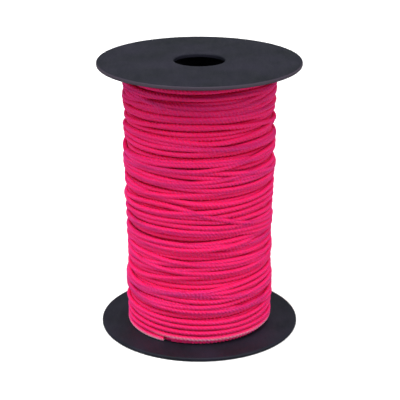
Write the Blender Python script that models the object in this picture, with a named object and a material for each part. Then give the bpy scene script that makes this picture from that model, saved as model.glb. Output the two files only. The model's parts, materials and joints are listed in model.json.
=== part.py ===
"""Fishing line spool: two moulded flanges pressed onto a core barrel, wound with twisted twine.

Metres, +Z up, origin at the centre of the lower flange's outer face.
"""
import math

import bpy
import bmesh
from mathutils import Vector

MM = 0.001

# ---- flanges
FLANGE_R = 50.8 * MM          # 4 in across
FLANGE_T = 2.0 * MM
RIM_ROUND = 0.75 * MM         # rounded outer edge, both faces
BORE_R = 12.7 * MM            # 1 in arbor hole
BORE_CHAMFER = 0.6 * MM
HUB_RO = 25.0 * MM            # ring that plugs into the barrel
HUB_RI = 23.2 * MM
HUB_H = 6.0 * MM
HUB_LEAD = 0.5 * MM           # lead-in chamfer on the hub ring
HUB_FILLET = 0.8 * MM
HEIGHT = 139.7 * MM           # 5.5 in over both flanges

# ---- core barrel
GAP = 0.3 * MM
BARREL_RO = 26.9 * MM
BARREL_RI = 25.3 * MM
START_HOLE_R = 1.55 * MM      # hole for the inner end of the twine
START_HOLE_Z = HEIGHT - 14.0 * MM

# ---- twine
CORD_D = 2.5 * MM
CORD_R = CORD_D / 2
WIND_RI = BARREL_RO + GAP
WIND_Z0 = FLANGE_T + GAP
WIND_Z1 = HEIGHT - FLANGE_T - GAP
# outside of the wound pack, radius against height
WIND_PROFILE = [
    (2.3, 34.9), (6.0, 34.9), (6.35, 37.0), (12.0, 37.2), (20.0, 36.9), (32.0, 36.5),
    (46.0, 36.4), (58.0, 36.6), (64.0, 37.1), (69.0, 37.9), (74.0, 38.4),
    (79.0, 38.1), (88.0, 37.8), (104.0, 37.9), (118.0, 37.8), (130.0, 37.7),
    (135.5, 37.4), (137.4, 36.6),
]
LAST_TURN_R = 34.9 * MM + GAP + CORD_R
LAST_TURN_Z = 4.2 * MM
LAST_TURN_FROM = math.radians(-120.0)
LAST_TURN_SWEEP = math.radians(344.0)
KNOT_R = 3.1 * MM
KNOT_AT = 20.9 * MM

SEGMENTS = 120
CORD_SIDES = 12

BLACK = (0.035, 0.032, 0.042, 1.0)
PINK = (0.80, 0.035, 0.16, 1.0)

for ob in list(bpy.data.objects):
    bpy.data.objects.remove(ob, do_unlink=True)


def material(name, colour, rough):
    mat = bpy.data.materials.new(name)
    mat.use_nodes = True
    p = mat.node_tree.nodes["Principled BSDF"]
    p.inputs["Base Color"].default_value = colour
    p.inputs["Roughness"].default_value = rough
    mat.diffuse_color = colour
    return mat


def add(name, bm, colour, rough, smooth_angle=35.0):
    bm.normal_update()
    bmesh.ops.recalc_face_normals(bm, faces=bm.faces[:])
    if bm.calc_volume(signed=True) < 0:
        bmesh.ops.reverse_faces(bm, faces=bm.faces[:])
    bm.normal_update()
    limit = math.radians(smooth_angle)
    for f in bm.faces:
        f.smooth = True
    for e in bm.edges:
        e.smooth = len(e.link_faces) == 2 and e.calc_face_angle(0.0) < limit
    me = bpy.data.meshes.new(name)
    bm.to_mesh(me)
    bm.free()
    ob = bpy.data.objects.new(name, me)
    bpy.context.scene.collection.objects.link(ob)
    me.materials.append(material(name + "_material", colour, rough))
    return ob


def turned(points, segments=SEGMENTS):
    """A closed ring with this (radius, height) outline, turned about the Z axis."""
    bm = bmesh.new()
    rings = []
    for i in range(segments):
        a = 2 * math.pi * i / segments
        rings.append([bm.verts.new((r * math.cos(a), r * math.sin(a), z)) for r, z in points])
    n = len(points)
    for i in range(segments):
        a, b = rings[i], rings[(i + 1) % segments]
        for j in range(n):
            k = (j + 1) % n
            bm.faces.new((a[j], b[j], b[k], a[k]))
    return bm


def tube(path, radii, sides=CORD_SIDES):
    """A closed swept tube along a path, with a radius at each point and flat ends."""
    bm = bmesh.new()
    up = Vector((0.0, 0.0, 1.0))
    rings = []
    last = None
    for i, p in enumerate(path):
        a = path[max(i - 1, 0)]
        b = path[min(i + 1, len(path) - 1)]
        t = (Vector(b) - Vector(a)).normalized()
        if last is None:
            n = up - t * up.dot(t)
        else:
            n = last - t * last.dot(t)
        n.normalize()
        last = n
        m = t.cross(n)
        rings.append([
            bm.verts.new(Vector(p) + radii[i] * (math.cos(2 * math.pi * s / sides) * n
                                                + math.sin(2 * math.pi * s / sides) * m))
            for s in range(sides)])
    for a, b in zip(rings, rings[1:]):
        for s in range(sides):
            k = (s + 1) % sides
            bm.faces.new((a[s], a[k], b[k], b[s]))
    bm.faces.new(list(reversed(rings[0])))
    bm.faces.new(rings[-1])
    return bm


def flange_outline():
    """(radius, height above the outer face) of a flange lying with its outer face down."""
    pts = [(BORE_R + BORE_CHAMFER, 0.0)]
    for i in range(6):                      # lower rim round
        a = math.radians(-90 + 90 * i / 5)
        pts.append((FLANGE_R - RIM_ROUND + RIM_ROUND * math.cos(a),
                    RIM_ROUND + RIM_ROUND * math.sin(a)))
    for i in range(6):                      # upper rim round
        a = math.radians(90 * i / 5)
        pts.append((FLANGE_R - RIM_ROUND + RIM_ROUND * math.cos(a),
                    FLANGE_T - RIM_ROUND + RIM_ROUND * math.sin(a)))
    top = FLANGE_T + HUB_H
    pts += [
        (HUB_RO, FLANGE_T),
        (HUB_RO, top - HUB_LEAD),
        (HUB_RO - HUB_LEAD, top),
        (HUB_RI, top),
        (HUB_RI, FLANGE_T + HUB_FILLET),
        (HUB_RI - HUB_FILLET * 0.3, FLANGE_T + HUB_FILLET * 0.3),
        (HUB_RI - HUB_FILLET, FLANGE_T),
        (BORE_R + BORE_CHAMFER * 0.5, FLANGE_T),
        (BORE_R, FLANGE_T - BORE_CHAMFER * 0.5),
        (BORE_R, BORE_CHAMFER),
        (BORE_R + BORE_CHAMFER * 0.35, BORE_CHAMFER * 0.35),
    ]
    return pts


lower = [(r, z) for r, z in flange_outline()]
upper = [(r, HEIGHT - z) for r, z in flange_outline()]
add("bottom_flange", turned(lower), BLACK, 0.45)
add("top_flange", turned(upper), BLACK, 0.45)

# ---- barrel, with the hole that the twine starts from
z0, z1 = FLANGE_T + GAP, HEIGHT - FLANGE_T - GAP
c = 0.4 * MM
barrel = add("core_barrel", turned([
    (BARREL_RI + c, z0), (BARREL_RO, z0), (BARREL_RO, z1), (BARREL_RI + c, z1),
    (BARREL_RI, z1 - c), (BARREL_RI, z0 + c)]), BLACK, 0.5)

bm = bmesh.new()
bmesh.ops.create_cone(bm, cap_ends=True, cap_tris=False, segments=24,
                      radius1=START_HOLE_R, radius2=START_HOLE_R, depth=12 * MM)
for v in bm.verts:                          # axis from Z to X, out through the -X wall
    v.co = Vector((v.co.z - 26.0 * MM, v.co.y, -v.co.x + START_HOLE_Z))
cutter = add("start_hole_cutter", bm, BLACK, 0.5)
cutter.hide_render = True
cutter.display_type = "WIRE"
cut = barrel.modifiers.new("start_hole", "BOOLEAN")
cut.operation = "DIFFERENCE"
cut.solver = "EXACT"
cut.object = cutter

# ---- wound pack, as one turned ring
profile = [(r * MM, z * MM) for z, r in WIND_PROFILE]
add("cord_winding", turned(profile + [(WIND_RI, WIND_Z1), (WIND_RI, WIND_Z0)]), PINK, 0.8, 50.0)

# ---- last turn and free end, lying beside the lower flange
steps = 110
path = []
for i in range(steps + 1):
    a = LAST_TURN_FROM + LAST_TURN_SWEEP * i / steps
    path.append((LAST_TURN_R * math.cos(a), LAST_TURN_R * math.sin(a), LAST_TURN_Z))
add("cord_outer_end", tube(path, [CORD_R * 0.82] + [CORD_R] * steps), PINK, 0.8, 60.0)

# ---- inner end, in through the barrel hole to its knot
path, radii = [], []
x = BARREL_RO + 0.0 * MM
while x > KNOT_AT + KNOT_R:
    path.append((-x, 0.0, START_HOLE_Z))
    radii.append(CORD_R)
    x -= 1.0 * MM
for i in range(11):                         # the knot, as a swelling of the twine
    a = math.pi * (1 - i / 10)
    swell = CORD_R + (KNOT_R - CORD_R) * math.sin(a) ** 0.6 if 0 < i < 10 else CORD_R
    path.append((-(KNOT_AT - KNOT_R * math.cos(a)), 0.0, START_HOLE_Z))
    radii.append(swell)
end = path[-1][0]
for i in range(1, 8):                       # a short tail below the knot
    a = math.radians(90 * i / 7)
    path.append((end + 4.0 * MM * math.sin(a), 0.0, START_HOLE_Z - 4.0 * MM * (1 - math.cos(a))))
    radii.append(CORD_R)
path.append((path[-1][0], 0.0, path[-1][2] - 2.5 * MM))
radii.append(CORD_R * 0.85)
add("cord_inner_end", tube(path, radii), PINK, 0.8, 60.0)
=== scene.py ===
import json
import math

import bpy
import numpy as np
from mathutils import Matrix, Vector

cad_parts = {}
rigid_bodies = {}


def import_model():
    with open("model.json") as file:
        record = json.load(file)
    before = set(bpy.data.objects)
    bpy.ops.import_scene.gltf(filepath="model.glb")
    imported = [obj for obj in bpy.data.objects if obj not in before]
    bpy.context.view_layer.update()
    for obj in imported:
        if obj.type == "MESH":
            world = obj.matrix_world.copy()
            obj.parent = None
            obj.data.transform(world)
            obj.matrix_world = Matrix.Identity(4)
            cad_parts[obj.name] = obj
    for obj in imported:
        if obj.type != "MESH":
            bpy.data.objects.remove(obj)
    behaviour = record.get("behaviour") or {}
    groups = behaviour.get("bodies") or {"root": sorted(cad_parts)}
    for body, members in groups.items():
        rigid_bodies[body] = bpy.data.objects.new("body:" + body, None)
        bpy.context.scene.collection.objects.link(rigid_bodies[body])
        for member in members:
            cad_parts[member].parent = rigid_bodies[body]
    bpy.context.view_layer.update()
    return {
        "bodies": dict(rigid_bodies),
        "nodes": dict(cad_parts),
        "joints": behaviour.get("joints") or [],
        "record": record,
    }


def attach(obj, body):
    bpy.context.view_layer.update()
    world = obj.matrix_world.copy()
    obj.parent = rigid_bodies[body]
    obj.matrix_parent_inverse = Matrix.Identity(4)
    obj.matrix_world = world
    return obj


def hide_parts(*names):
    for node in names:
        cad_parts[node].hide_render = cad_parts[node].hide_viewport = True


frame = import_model()

MM = 0.001

# ------------------------------------------------------------------ camera
cam_data = bpy.data.cameras.new("camera")
cam = bpy.data.objects.new("camera", cam_data)
bpy.context.scene.collection.objects.link(cam)
cam_data.sensor_width = 36.0
cam_data.lens = 120.96
cam.location = (0.0003, -0.644, 0.301)
cam.rotation_euler = (math.radians(90.0 - 20.02), 0.0, 0.0)
bpy.context.scene.camera = cam

# ------------------------------------------------------------------ sizes, as in part.py (mm)
FLANGE_R, FLANGE_T, HEIGHT = 50.8, 2.0, 139.7
RIM_ROUND = 0.75
BORE_R, BORE_CHAMFER = 12.7, 0.6
HUB_RO, HUB_RI, HUB_H, HUB_LEAD, HUB_FILLET = 25.0, 23.2, 6.0, 0.5, 0.8
GAP = 0.3
BARREL_RO, BARREL_RI = 26.9, 25.3
START_HOLE_R, START_HOLE_Z = 1.55, HEIGHT - 14.0
CORD_R = 1.25
LAY = 5.8                     # one turn of the three strands
FLAT = 1.12                   # the turns press each other a little flat
PITCH = 2.47                  # from turn to turn of the winding
LOW_Z = FLANGE_T + 0.12 + CORD_R
HIGH_Z = HEIGHT - FLANGE_T - 0.12 - CORD_R


# ------------------------------------------------------------------ the winding
# The twine is laid turn by turn on a map of the pack's radius, so that each turn rests on the
# ones below it, settles into the grooves between them and rides over those that it crosses.
NT = 240                      # steps in a turn
DZ = 0.1                      # map cell along the axis
NZ = int(round((HEIGHT + 6.0) / DZ))
ZA = -3.0                     # height of the map's first cell
REACH = int(round(CORD_R / DZ))
OFF = np.arange(-REACH, REACH + 1)
CAP = np.sqrt(np.maximum(CORD_R ** 2 - (OFF * DZ) ** 2, 0.0))


def smooth_noise(rng, n, length):
    """n values of noise with unit spread, smooth over about length steps."""
    knots = int(n / length) + 6
    v = rng.normal(size=knots)
    x = np.arange(n) / length + 1.5
    i = np.floor(x).astype(int)
    f = x - i
    a, b, c, d = v[i - 1], v[i], v[i + 1], v[i + 2]
    return 0.5 * (2 * b + (c - a) * f + (2 * a - 5 * b + 4 * c - d) * f * f
                  + (3 * b - a - 3 * c + d) * f ** 3)


class Pack:
    """soft: how much of its thickness a turn keeps where it crosses over another."""

    def __init__(self, radius, soft=1.0):
        self.h = np.full((NT, NZ), radius)
        self.cap = CAP * soft

    def rests_at(self, i, z):
        """Radius at which the twine's middle rests at step i, for an array of heights."""
        j = (z - ZA) / DZ
        k = np.clip(np.floor(j).astype(int), REACH, NZ - REACH - 2)
        f = j - k
        row = self.h[i % NT]
        lo = (row[k[:, None] + OFF] + self.cap).max(1)
        hi = (row[k[:, None] + 1 + OFF] + self.cap).max(1)
        return lo * (1 - f) + hi * f

    def lay(self, first, way, z, r):
        for n in range(len(z)):
            i = (first + way * n) % NT
            k = int(round((z[n] - ZA) / DZ))
            seg = self.h[i, k - REACH:k + REACH + 1]
            np.maximum(seg, r[n] + self.cap, out=seg)


def wind(pack, first, way, z_start, guide, pull=0.034, grip=0.015, give=0.17):
    """Lays twine along guide (a height for each step), and returns its heights and radii."""
    n = len(guide)
    zs, rs = np.empty(n), np.empty(n)
    z, m = z_start, 0.0
    done = 0
    tail = None
    while done < n:
        count = min(NT, n - done)
        for s in range(count):
            i = first + way * (done + s)
            g = guide[done + s]
            ahead = guide[min(done + s + 6, n - 1)]
            near = pack.rests_at(i, np.array([z - 0.45, z + 0.45]))
            tilt = float(np.clip((near[1] - near[0]) / 0.9, -1.2, 1.2))
            want = (ahead - g) / 6.0 + pull * (g - z)
            m += give * (want - m) - grip * tilt
            m = float(np.clip(m, -0.28, 0.28))
            z = float(np.clip(z + m, LOW_Z, HIGH_Z))
            if z in (LOW_Z, HIGH_Z):
                m = 0.0
            zs[done + s] = z
        part = slice(done, done + count)
        c = np.array([pack.rests_at(first + way * (done + s), zs[done + s:done + s + 1])[0]
                      for s in range(count)])
        lead = tail if tail is not None else np.array([c[0]])
        full = np.concatenate([lead, c])
        k = np.array([1.0, 2.0, 3.0, 2.0, 1.0]) / 9.0
        soft = np.convolve(np.pad(full, 2, mode="edge"), k, "valid")
        r = soft.copy()
        cos = math.cos(2 * math.pi / NT)
        for _ in range(160):           # twine under tension spans the dips
            chord = 0.5 * (r[:-2] + r[2:]) * cos
            r[1:-1] = np.maximum(soft[1:-1], chord)
            r[:len(lead)] = lead
        rs[part] = r[len(lead):]
        pack.lay(first + way * done, way, zs[part], rs[part])
        tail = rs[max(0, done + count - 2):done + count]
        done += count
    return zs, rs


STEP = 2 * math.pi / NT
LAYER = 2.14                   # from layer to layer
END_AT = 160                   # step of the free end: front left, 240 degrees
R4 = BARREL_RO + CORD_R + 0.58 + 3 * LAYER
R5 = R4 + 1.56                 # the outside layer beds into the one under it


def at(turn, degrees):
    """Step of the outside layer, counted up from the free end, that lies at this angle."""
    return NT * turn + ((240.0 - degrees) % 360.0) * NT / 360.0


def bump(x):
    return np.where(np.abs(x) < 1, 0.5 + 0.5 * np.cos(np.pi * np.clip(x, -1, 1)), 0.0)


def eased(x, points):
    """Offsets through (step, offset) points, level at each one."""
    out = np.zeros_like(x)
    for (a, va), (b, vb) in zip(points, points[1:]):
        f = np.clip((x - a) / (b - a), 0, 1)
        part = (x >= a) & (x < b)
        out = np.where(part, va + (vb - va) * f * f * (3 - 2 * f), out)
    return out


def winding():
    """Angle (radians), radius and height of the twine's middle (mm), and where each layer starts."""
    rng = np.random.default_rng(23)
    span = HIGH_Z - LOW_Z
    turns = span / PITCH
    angle, radius, height, marks = [], [], [], []
    pos = NT // 2                      # leaves the barrel on the -X side
    # hidden layers, wound plainly
    for k, (a, b) in enumerate([(START_HOLE_Z, LOW_Z), (LOW_Z, HIGH_Z), (HIGH_Z, LOW_Z)]):
        n = int(round(abs(b - a) / PITCH * NT))
        f = np.arange(n) / n
        rise = LAYER * np.clip((f - 1) * n / 60 + 1, 0, 1) ** 2      # climbs to the next layer
        marks.append(len(angle))
        angle.extend((pos + np.arange(n)) * STEP)
        radius.extend(BARREL_RO + CORD_R + 0.08 + LAYER * k + rise)
        height.extend(a + (b - a) * f)
        pos += n
    # the layer under the outside one, wound upwards with a little wander
    pack = Pack(R4 - CORD_R * 0.6, 0.6)
    n = int(round(turns * NT))
    guide = LOW_Z + span * np.arange(n) / n + 0.5 * smooth_noise(rng, n, NT * 0.7)
    zs, rs = wind(pack, pos, 1, LOW_Z, guide)
    rs = rs + (R5 - R4) * np.clip((np.arange(n) - n) / 30 + 1, 0, 1) ** 2
    marks.append(len(angle))
    angle.extend((pos + np.arange(n)) * STEP)
    radius.extend(rs)
    height.extend(zs)
    pos += n
    # the outside layer wanders and crosses itself: turns nearer the top lie over those below
    pack = Pack(0.0, SOFT)
    heights = np.arange(NZ) * DZ + ZA
    for i in range(NT):
        turn = np.arange(n)[(np.arange(n) + pos - n) % NT == i]
        d = np.abs(heights[:, None] - zs[turn][None]).min(1)
        pack.h[i] = R5 - CORD_R * SOFT + 0.22 * (np.clip(1 - d / 1.2, 0, 1) - 0.5)
    n = int(round(turns * NT))
    n += (END_AT - (pos + n)) % NT
    k = np.arange(n, dtype=float)
    f = k / n
    base = LOW_Z + span * f
    wander = (0.9 * smooth_noise(rng, n, NT * 1.1) + 0.75 * smooth_noise(rng, n, NT * 0.42)
              + 1.0 * smooth_noise(rng, n, NT * 3.0))
    t = 1.5
    while t < turns - 2:               # short excursions over the neighbouring turns
        size = rng.uniform(2.2, 5.6) * rng.choice([-1.0, 1.0])
        wander = wander + size * bump((k / NT - t) / rng.uniform(0.20, 0.42))
        t += rng.uniform(0.40, 1.15)
    quiet = 1 - bump((k - at(27, 20)) / (1.1 * NT)) * 0.9 - bump((k - at(46, 270)) / (1.6 * NT)) * 0.8
    wander = wander * np.clip(quiet, 0, 1) * np.clip(np.minimum(f, 1 - f) * 16, 0, 1)
    wander = wander + eased(k, [
        (at(27, 175), 0.0), (at(27, 5), -11.0), (at(27, 330), -9.6), (at(27, 243), 3.0),
        (at(28, 180), 0.6), (at(28, 110), 0.0)])
    wander = wander + eased(k, [
        (at(45, 300), 0.0), (at(46, 190), 4.2), (at(46, 60), 4.4), (at(46, 290), 8.4),
        (at(47, 236), 7.0), (at(47, 180), 2.2), (at(47, 40), 3.4), (at(47, 270), 2.0), (at(48, 120), 0.0)])
    guide = np.clip(base + wander, LOW_Z, HIGH_Z)
    zs, rs = wind(pack, pos + n, -1, LOW_Z, guide)
    over = np.maximum(rs - R5, 0.0)    # crossings bed into the soft pack
    rs = np.minimum(rs, R5) + 0.85 * (1 - np.exp(-over / 0.85))
    marks.append(len(angle))
    angle.extend((pos + 1 + np.arange(n)) * STEP)
    radius.extend(rs[::-1])
    height.extend(zs[::-1])
    return np.array(angle), np.array(radius), np.array(height), marks


SOFT = 0.42
angle, radius, height, marks = winding()


# ------------------------------------------------------------------ twine mesh
def along(points, spacing):
    """Points at an even spacing along a line, and their distances from its start."""
    d = np.concatenate([[0.0], np.cumsum(np.linalg.norm(np.diff(points, axis=0), axis=1))])
    n = max(2, int(round(d[-1] / spacing)) + 1)
    s = np.linspace(0, d[-1], n)
    return np.stack([np.interp(s, d, points[:, k]) for k in range(3)], 1), s


def section(points_per_strand, depth):
    """Angles and radii (in twine radii) of the three-strand outline, and 0 in a groove to 1 on a strand."""
    a, r, t = [], [], []
    for strand in range(3):
        for p in range(points_per_strand):
            u = 2.0 * p / points_per_strand - 1.0          # -1 in the groove, 0 on top
            a.append((strand + 0.5 + 0.5 * u) * 2 * math.pi / 3)
            r.append(math.sqrt(max(0.0, 1 - depth * abs(u) ** 1.6)))
            t.append(1 - abs(u))
    return np.array(a), np.array(r), np.array(t)


def sweep(points, s, sides, depth, twist=1.0):
    """Rings of a twisted three-strand tube: an array of rings x sides x 3, and the mask of the painted shade in its
    grooves.
    """
    a, r, t = section(sides // 3, depth)
    tan = np.gradient(points, axis=0)
    tan /= np.linalg.norm(tan, axis=1)[:, None]
    out = points * np.array([1.0, 1.0, 0.0])
    out /= np.maximum(np.linalg.norm(out, axis=1)[:, None], 1e-9)
    out -= tan * (out * tan).sum(1)[:, None]
    w = np.clip(np.linalg.norm(out, axis=1) * 2.5 - 0.5, 0, 1)[:, None]
    up = np.array([0.0, 0.0, 1.0]) - tan * tan[:, 2:]
    out = out * w + up * (1 - w)
    out /= np.linalg.norm(out, axis=1)[:, None]
    side = np.cross(tan, out)
    phase = twist * 2 * math.pi * s / LAY
    ang = phase[:, None] + a[None]
    rad = CORD_R * np.broadcast_to(r, ang.shape)
    rings = (points[:, None] + (rad * np.cos(ang))[..., None] * out[:, None]
             + (rad * FLAT * np.sin(ang))[..., None] * side[:, None])
    # painted shade: 0 on what faces outwards, to 1 in the grooves between strands and between turns
    groove_shade = np.maximum(0.62 * (1 - np.clip(t / 0.6, 0, 1))[None],
                      np.clip((0.93 - np.cos(ang)) / 0.42, 0, 1))
    return rings, groove_shade


def squeeze(r, z):
    """The pack is a little slimmer in its lower part."""
    want = np.interp(z, [2, 8, 20, 34, 50, 60, 66, 72, 78, 86, 137],
                     [0.93, 0.93, 0.93, 0.90, 0.895, 0.90, 0.93, 0.985, 0.99, 0.985, 0.985])
    return BARREL_RO + (r - BARREL_RO) * want


radius = np.where(radius > 0, squeeze(radius, height), radius)
line = np.stack([radius * np.cos(angle), radius * np.sin(angle), height], 1)

# from the knot inside the barrel, out through its hole
knot_x = -(BARREL_RI - 4.4)
lead_in = np.array([[knot_x, 0, START_HOLE_Z], [-(BARREL_RI - 1.0), 0, START_HOLE_Z],
                    [-(BARREL_RO + 0.6), -0.4, START_HOLE_Z - 0.05]])
hidden_to = marks[3]
bits = []
inner = np.concatenate([lead_in, line[30:hidden_to]])
inner, s_in = along(inner, 3.2)
mid = line[hidden_to:marks[4]]
mid, s_mid = along(mid, 0.78)
outer = line[marks[4]:]
outer, s_out = along(outer, 0.66)
s_mid = s_mid + s_in[-1]
s_out = s_out + s_mid[-1]

verts, faces, strand, dist = [], [], [], []
count = 0


def tube(points, s, sides, depth, cap_start, cap_end, twist=1.0):
    global count
    rings, t = sweep(points, s, sides, depth, twist)
    n = len(points)
    v = rings.reshape(-1, 3)
    verts.append(v)
    strand.append(t.reshape(-1))
    dist.append(np.repeat(s, sides))
    i = np.arange(n - 1)[:, None] * sides
    k = np.arange(sides)[None]
    k2 = (k + 1) % sides
    quads = np.stack([i + k, i + k2, i + sides + k2, i + sides + k], -1).reshape(-1, 4) + count
    faces.append(quads)
    ends = []
    if cap_start:
        ends.append([count + x for x in reversed(range(sides))])
    if cap_end:
        ends.append([count + (n - 1) * sides + x for x in range(sides)])
    count += n * sides
    return ends


ends = []
ends += tube(inner, s_in, 6, 0.12, True, True, 0.0)
ends += tube(mid, s_mid, 9, 0.50, True, True)
ends += tube(outer, s_out, 12, 0.50, True, True)
# painted highlight: the lower side of the last turn is painted paler, over the last quarter turn before its free end
# and a stretch of the turn before
painted_highlight = [np.zeros(len(x)) for x in dist]
low = (verts[2][:, 2] - np.repeat(outer[:, 2], 12)) / CORD_R
left = (s_out[-1] - dist[2]) / (2 * math.pi * 36.0)
painted_highlight[2] = np.clip(-low * 1.8 + 0.05, 0, 1)
painted_highlight[2] *= (np.clip((0.24 - left) * 14, 0, 1)
            + np.clip((left - 0.62) * 10, 0, 1) * np.clip((1.04 - left) * 14, 0, 1))
V = np.concatenate(verts) * MM
F = np.concatenate(faces)
T = np.concatenate(strand)
S = np.concatenate(dist)
P = np.concatenate(painted_highlight)
mesh = bpy.data.meshes.new("twine")
loops = F.size + sum(len(e) for e in ends)
mesh.vertices.add(len(V))
mesh.vertices.foreach_set("co", V.astype(np.float32).ravel())
mesh.loops.add(loops)
corner = np.concatenate([F.ravel()] + [np.array(e) for e in ends])
mesh.loops.foreach_set("vertex_index", corner.astype(np.int32))
starts = np.concatenate([np.arange(len(F)) * 4,
                         F.size + np.cumsum([0] + [len(e) for e in ends[:-1]])])
mesh.polygons.add(len(starts))
mesh.polygons.foreach_set("loop_start", starts.astype(np.int32))
mesh.polygons.foreach_set("use_smooth", np.ones(len(starts), bool))
for name, values in (("groove_shade", T), ("along", S), ("painted_highlight", P)):
    at = mesh.attributes.new(name, "FLOAT", "POINT")
    at.data.foreach_set("value", values.astype(np.float32))
mesh.update(calc_edges=True)
mesh.validate()
twine = bpy.data.objects.new("twine", mesh)
bpy.context.scene.collection.objects.link(twine)

# an overhand knot holds the twine's start inside the barrel
k = np.linspace(0.42, 2 * math.pi - 0.30, 120)
knot_line = np.stack([1.30 * np.sin(3 * k), 1.30 * (2 + np.cos(3 * k)) * np.cos(2 * k),
                      1.30 * (2 + np.cos(3 * k)) * np.sin(2 * k)], 1)
knot_line += np.array([knot_x - 0.4, 0.0, START_HOLE_Z])
knot_line, s_knot = along(knot_line, 0.7)
first = len(faces), count
knot_ends = tube(knot_line, s_knot, 12, 0.44, True, True)
knot_mesh = bpy.data.meshes.new("start_knot")
knot_mesh.from_pydata([tuple(float(c) * MM for c in v) for v in verts[-1]], [],
                      [[int(i) - first[1] for i in f] for f in faces[-1]]
                      + [[i - first[1] for i in e] for e in knot_ends])
mark = knot_mesh.attributes.new("groove_shade", "FLOAT", "POINT")
mark.data.foreach_set("value", strand[-1].astype(np.float32))
for f in knot_mesh.polygons:
    f.use_smooth = True
knot = bpy.data.objects.new("start_knot", knot_mesh)
bpy.context.scene.collection.objects.link(knot)
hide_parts("cord_inner_end")
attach(knot, "root")
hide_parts("cord_winding", "cord_outer_end", "cord_inner_end")
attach(twine, "root")


# ------------------------------------------------------------------ moulded parts
def turned(name, outline, segments=256, sharp=32.0):
    import bmesh
    bm = bmesh.new()
    rings = []
    for i in range(segments):
        a = 2 * math.pi * i / segments
        rings.append([bm.verts.new((r * MM * math.cos(a), r * MM * math.sin(a), z * MM))
                      for r, z in outline])
    n = len(outline)
    for i in range(segments):
        a, b = rings[i], rings[(i + 1) % segments]
        for j in range(n):
            k = (j + 1) % n
            bm.faces.new((a[j], b[j], b[k], a[k]))
    bm.normal_update()
    bmesh.ops.recalc_face_normals(bm, faces=bm.faces[:])
    if bm.calc_volume(signed=True) < 0:
        bmesh.ops.reverse_faces(bm, faces=bm.faces[:])
    bm.normal_update()
    for f in bm.faces:
        f.smooth = True
    for e in bm.edges:
        e.smooth = e.calc_face_angle(0.0) < math.radians(sharp)
    me = bpy.data.meshes.new(name)
    bm.to_mesh(me)
    bm.free()
    ob = bpy.data.objects.new(name, me)
    bpy.context.scene.collection.objects.link(ob)
    return ob


def flange_outline():
    pts = [(BORE_R + BORE_CHAMFER, 0.0)]
    for r in np.linspace(BORE_R + 2.5, FLANGE_R - RIM_ROUND - 1.5, 9):
        pts.append((float(r), 0.0))
    for i in range(9):
        a = math.radians(-90 + 90 * i / 8)
        pts.append((FLANGE_R - RIM_ROUND + RIM_ROUND * math.cos(a),
                    RIM_ROUND + RIM_ROUND * math.sin(a)))
    for i in range(9):
        a = math.radians(90 * i / 8)
        pts.append((FLANGE_R - RIM_ROUND + RIM_ROUND * math.cos(a),
                    FLANGE_T - RIM_ROUND + RIM_ROUND * math.sin(a)))
    for r in np.linspace(FLANGE_R - RIM_ROUND - 1.5, HUB_RO + 2.5, 7):
        pts.append((float(r), FLANGE_T))
    top = FLANGE_T + HUB_H
    pts += [(HUB_RO, FLANGE_T), (HUB_RO, top - HUB_LEAD), (HUB_RO - HUB_LEAD, top), (HUB_RI, top),
            (HUB_RI, FLANGE_T + HUB_FILLET)]
    for i in range(1, 5):
        a = math.radians(90 * i / 4)
        pts.append((HUB_RI - HUB_FILLET + HUB_FILLET * math.cos(a),
                    FLANGE_T + HUB_FILLET - HUB_FILLET * math.sin(a)))
    pts += [(BORE_R + BORE_CHAMFER * 0.5, FLANGE_T), (BORE_R, FLANGE_T - BORE_CHAMFER * 0.5)]
    pts += [(BORE_R, BORE_CHAMFER)]
    for i in range(1, 5):
        a = math.radians(90 * i / 5)
        pts.append((BORE_R + BORE_CHAMFER - BORE_CHAMFER * math.cos(a),
                    BORE_CHAMFER - BORE_CHAMFER * math.sin(a)))
    return pts


bottom = turned("lower_flange", flange_outline())
top = turned("upper_flange", [(r, HEIGHT - z) for r, z in flange_outline()])
for ob, node in ((bottom, "bottom_flange"), (top, "top_flange")):
    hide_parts(node)
    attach(ob, "root")


# ------------------------------------------------------------------ materials
def new_material(name):
    mat = bpy.data.materials.new(name)
    mat.use_nodes = True
    nt = mat.node_tree
    p = nt.nodes["Principled BSDF"]
    return mat, nt, p


def node(nt, kind, **values):
    n = nt.nodes.new(kind)
    for k, v in values.items():
        if k in n.inputs:
            n.inputs[k].default_value = v
        else:
            setattr(n, k, v)
    return n


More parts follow.
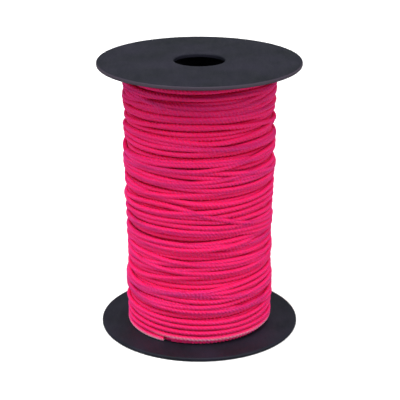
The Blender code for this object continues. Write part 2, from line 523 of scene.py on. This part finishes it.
def plastic():
    mat, nt, p = new_material("black_moulded_plastic")
    co = node(nt, "ShaderNodeTexCoord")
    link = nt.links.new
    # slow mottling of the moulded surface
    cloud = node(nt, "ShaderNodeTexNoise", Scale=42.0, Detail=6.0, Roughness=0.62)
    link(co.outputs["Object"], cloud.inputs["Vector"])
    fine = node(nt, "ShaderNodeTexNoise", Scale=1900.0, Detail=2.0, Roughness=0.6)
    link(co.outputs["Object"], fine.inputs["Vector"])
    scuff = node(nt, "ShaderNodeTexNoise", Scale=260.0, Detail=4.0, Roughness=0.7)
    stretch = node(nt, "ShaderNodeMapping")
    stretch.inputs["Scale"].default_value = (1.0, 0.22, 1.0)
    stretch.inputs["Rotation"].default_value = (0.0, 0.0, 0.6)
    link(co.outputs["Object"], stretch.inputs["Vector"])
    link(stretch.outputs[0], scuff.inputs["Vector"])
    ramp = node(nt, "ShaderNodeValToRGB")
    ramp.color_ramp.elements[0].position = 0.36
    ramp.color_ramp.elements[0].color = (0.0058, 0.0076, 0.0125, 1)
    ramp.color_ramp.elements[1].position = 0.66
    ramp.color_ramp.elements[1].color = (0.0138, 0.0134, 0.0246, 1)
    link(cloud.outputs[0], ramp.inputs[0])
    # painted highlight: the upper flange's rounded edge is painted a little lighter
    parts = node(nt, "ShaderNodeSeparateXYZ")
    link(co.outputs["Object"], parts.inputs[0])
    flat = node(nt, "ShaderNodeCombineXYZ")
    link(parts.outputs["X"], flat.inputs["X"])
    link(parts.outputs["Y"], flat.inputs["Y"])
    far = node(nt, "ShaderNodeVectorMath", operation="LENGTH")
    link(flat.outputs[0], far.inputs[0])
    edge = node(nt, "ShaderNodeMapRange")
    edge.inputs["From Min"].default_value = (FLANGE_R - 0.55) * MM
    edge.inputs["From Max"].default_value = (FLANGE_R - 0.15) * MM
    link(far.outputs["Value"], edge.inputs["Value"])
    high = node(nt, "ShaderNodeMath", operation="GREATER_THAN")
    high.inputs[1].default_value = 0.5 * HEIGHT * MM
    link(parts.outputs["Z"], high.inputs[0])
    rim_highlight_mask = node(nt, "ShaderNodeMath", operation="MULTIPLY")
    link(edge.outputs[0], rim_highlight_mask.inputs[0])
    link(high.outputs[0], rim_highlight_mask.inputs[1])
    rim_highlight_mix = node(nt, "ShaderNodeMix", data_type="RGBA")
    link(rim_highlight_mask.outputs[0], rim_highlight_mix.inputs[0])
    link(ramp.outputs[0], rim_highlight_mix.inputs[6])
    rim_highlight_mix.inputs[7].default_value = (0.056, 0.045, 0.064, 1)
    link(rim_highlight_mix.outputs[2], p.inputs["Base Color"])
    rough = node(nt, "ShaderNodeMapRange")
    rough.inputs["From Min"].default_value = 0.35
    rough.inputs["From Max"].default_value = 0.7
    rough.inputs["To Min"].default_value = 0.50
    rough.inputs["To Max"].default_value = 0.62
    link(scuff.outputs[0], rough.inputs["Value"])
    link(rough.outputs[0], p.inputs["Roughness"])
    bump = node(nt, "ShaderNodeBump")
    bump.inputs["Strength"].default_value = 0.12
    bump.inputs["Distance"].default_value = 0.0002
    link(fine.outputs[0], bump.inputs["Height"])
    link(bump.outputs[0], p.inputs["Normal"])
    p.inputs["Specular IOR Level"].default_value = 0.16
    return mat


def twine_material():
    mat, nt, p = new_material("pink_twisted_twine")
    link = nt.links.new
    groove_shade = node(nt, "ShaderNodeAttribute", attribute_name="groove_shade")
    co = node(nt, "ShaderNodeTexCoord")
    patch = node(nt, "ShaderNodeTexNoise", Scale=55.0, Detail=3.0, Roughness=0.6)
    link(co.outputs["Object"], patch.inputs["Vector"])
    ramp = node(nt, "ShaderNodeValToRGB")
    ramp.color_ramp.elements[0].position = 0.3
    ramp.color_ramp.elements[0].color = (0.70, 0.0165, 0.142, 1)
    ramp.color_ramp.elements[1].position = 0.7
    ramp.color_ramp.elements[1].color = (0.76, 0.0240, 0.180, 1)
    link(patch.outputs[0], ramp.inputs[0])
    # painted shade and painted red bounce light: the grooves are painted a deeper crimson than the tops of the strands
    groove_shade_mix = node(nt, "ShaderNodeMix", data_type="RGBA")
    link(groove_shade.outputs["Fac"], groove_shade_mix.inputs[0])
    link(ramp.outputs[0], groove_shade_mix.inputs[6])
    groove_shade_mix.inputs[7].default_value = (0.98, 0.0015, 0.110, 1)
    # painted highlight: a paler pink on the lower side of the last turn
    highlight_attr = node(nt, "ShaderNodeAttribute", attribute_name="painted_highlight")
    highlight_mix = node(nt, "ShaderNodeMix", data_type="RGBA")
    link(highlight_attr.outputs["Fac"], highlight_mix.inputs[0])
    link(groove_shade_mix.outputs[2], highlight_mix.inputs[6])
    highlight_mix.inputs[7].default_value = (1.0, 0.48, 0.62, 1)
    link(highlight_mix.outputs[2], p.inputs["Base Color"])
    fibre = node(nt, "ShaderNodeTexNoise", Scale=3200.0, Detail=2.0, Roughness=0.7)
    link(co.outputs["Object"], fibre.inputs["Vector"])
    bump = node(nt, "ShaderNodeBump")
    bump.inputs["Strength"].default_value = 0.35
    bump.inputs["Distance"].default_value = 0.00012
    link(fibre.outputs[0], bump.inputs["Height"])
    link(bump.outputs[0], p.inputs["Normal"])
    p.inputs["Roughness"].default_value = 0.62
    p.inputs["Subsurface Weight"].default_value = 0.55
    p.inputs["Subsurface Radius"].default_value = (1.0, 0.10, 0.35)
    p.inputs["Subsurface Scale"].default_value = 0.0018
    p.inputs["Specular IOR Level"].default_value = 0.16
    p.inputs["Sheen Weight"].default_value = 0.20
    p.inputs["Sheen Roughness"].default_value = 0.4
    p.inputs["Sheen Tint"].default_value = (1.0, 0.45, 0.7, 1.0)
    return mat


black = plastic()
pink = twine_material()
for ob in (bottom, top):
    ob.data.materials.clear()
    ob.data.materials.append(black)
twine.data.materials.append(pink)
knot.data.materials.append(pink)
barrel = frame["core_barrel"] if isinstance(frame, dict) and "core_barrel" in frame else bpy.data.objects["core_barrel"]
barrel.data.materials.clear()
barrel.data.materials.append(black)

# ------------------------------------------------------------------ floor and light
bpy.ops.mesh.primitive_plane_add(size=6.0, location=(0, 0, -0.0001))
floor = bpy.context.object
floor.name = "floor"
fm, fnt, fp = new_material("pale_floor")
seen = node(fnt, "ShaderNodeLightPath")
shade = node(fnt, "ShaderNodeMix", data_type="RGBA")
shade.inputs[6].default_value = (0.22, 0.22, 0.22, 1)     # kept low so that the floor lights little
shade.inputs[7].default_value = (0.90, 0.90, 0.90, 1)
fnt.links.new(seen.outputs["Is Camera Ray"], shade.inputs[0])
fnt.links.new(shade.outputs[2], fp.inputs["Base Color"])
glow = node(fnt, "ShaderNodeMapRange")
glow.inputs["To Max"].default_value = 0.22
fnt.links.new(seen.outputs["Is Camera Ray"], glow.inputs["Value"])
fnt.links.new(glow.outputs[0], fp.inputs["Emission Strength"])
fp.inputs["Emission Color"].default_value = (1, 1, 1, 1)
fp.inputs["Roughness"].default_value = 0.9
fp.inputs["Specular IOR Level"].default_value = 0.1
floor.data.materials.append(fm)


def sun(name, azimuth, elevation, strength, spread, colour=(1.0, 1.0, 1.0)):
    """A soft light from far off: azimuth 0 is the viewer's side, and 90 the viewer's right."""
    data = bpy.data.lights.new(name, "SUN")
    data.energy = strength
    data.angle = math.radians(spread)
    data.color = colour
    ob = bpy.data.objects.new(name, data)
    bpy.context.scene.collection.objects.link(ob)
    a, e = math.radians(azimuth), math.radians(elevation)
    back = Vector((math.sin(a) * math.cos(e), -math.cos(a) * math.cos(e), math.sin(e)))
    ob.location = back * 0.9
    ob.rotation_mode = "QUATERNION"
    ob.rotation_quaternion = (-back).to_track_quat("-Z", "Y")
    return ob


def card(name, azimuth, distance, height, size, power):
    """A small reflector card beside the object, facing its axis."""
    data = bpy.data.lights.new(name, "AREA")
    data.energy = power
    data.size = size
    ob = bpy.data.objects.new(name, data)
    bpy.context.scene.collection.objects.link(ob)
    a = math.radians(azimuth)
    ob.location = (math.sin(a) * distance, -math.cos(a) * distance, height)
    ob.rotation_mode = "QUATERNION"
    ob.rotation_quaternion = (Vector((0, 0, height + 0.01)) - ob.location).to_track_quat("-Z", "Y")
    ob.visible_camera = False
    return ob


sun("overhead_softbox", -15.0, 70.0, 2.9, 50.0)
sun("front_softbox_left", -52.0, 32.0, 0.40, 45.0)
sun("front_softbox_right", 52.0, 30.0, 0.64, 45.0)
for azimuth in (142.0, -142.0):
    back = sun("back_softbox", azimuth, 24.0, 0.75, 50.0)
    back.visible_glossy = False        # no sheen from behind across the flanges
card("low_card_left", -52.0, 0.21, 0.035, 0.10, 0.135)
card("low_card_right", 52.0, 0.21, 0.035, 0.10, 0.135)

world = bpy.data.worlds.new("studio")
bpy.context.scene.world = world
world.use_nodes = True
wn = world.node_tree
backdrop = wn.nodes["Background"]
backdrop.inputs["Color"].default_value = (1, 1, 1, 1)
ray = wn.nodes.new("ShaderNodeLightPath")
level = wn.nodes.new("ShaderNodeMapRange")
level.inputs["To Min"].default_value = 0.32
level.inputs["To Max"].default_value = 1.0
wn.links.new(ray.outputs["Is Camera Ray"], level.inputs["Value"])
wn.links.new(level.outputs[0], backdrop.inputs["Strength"])
bpy.context.scene.view_settings.view_transform = "Standard"
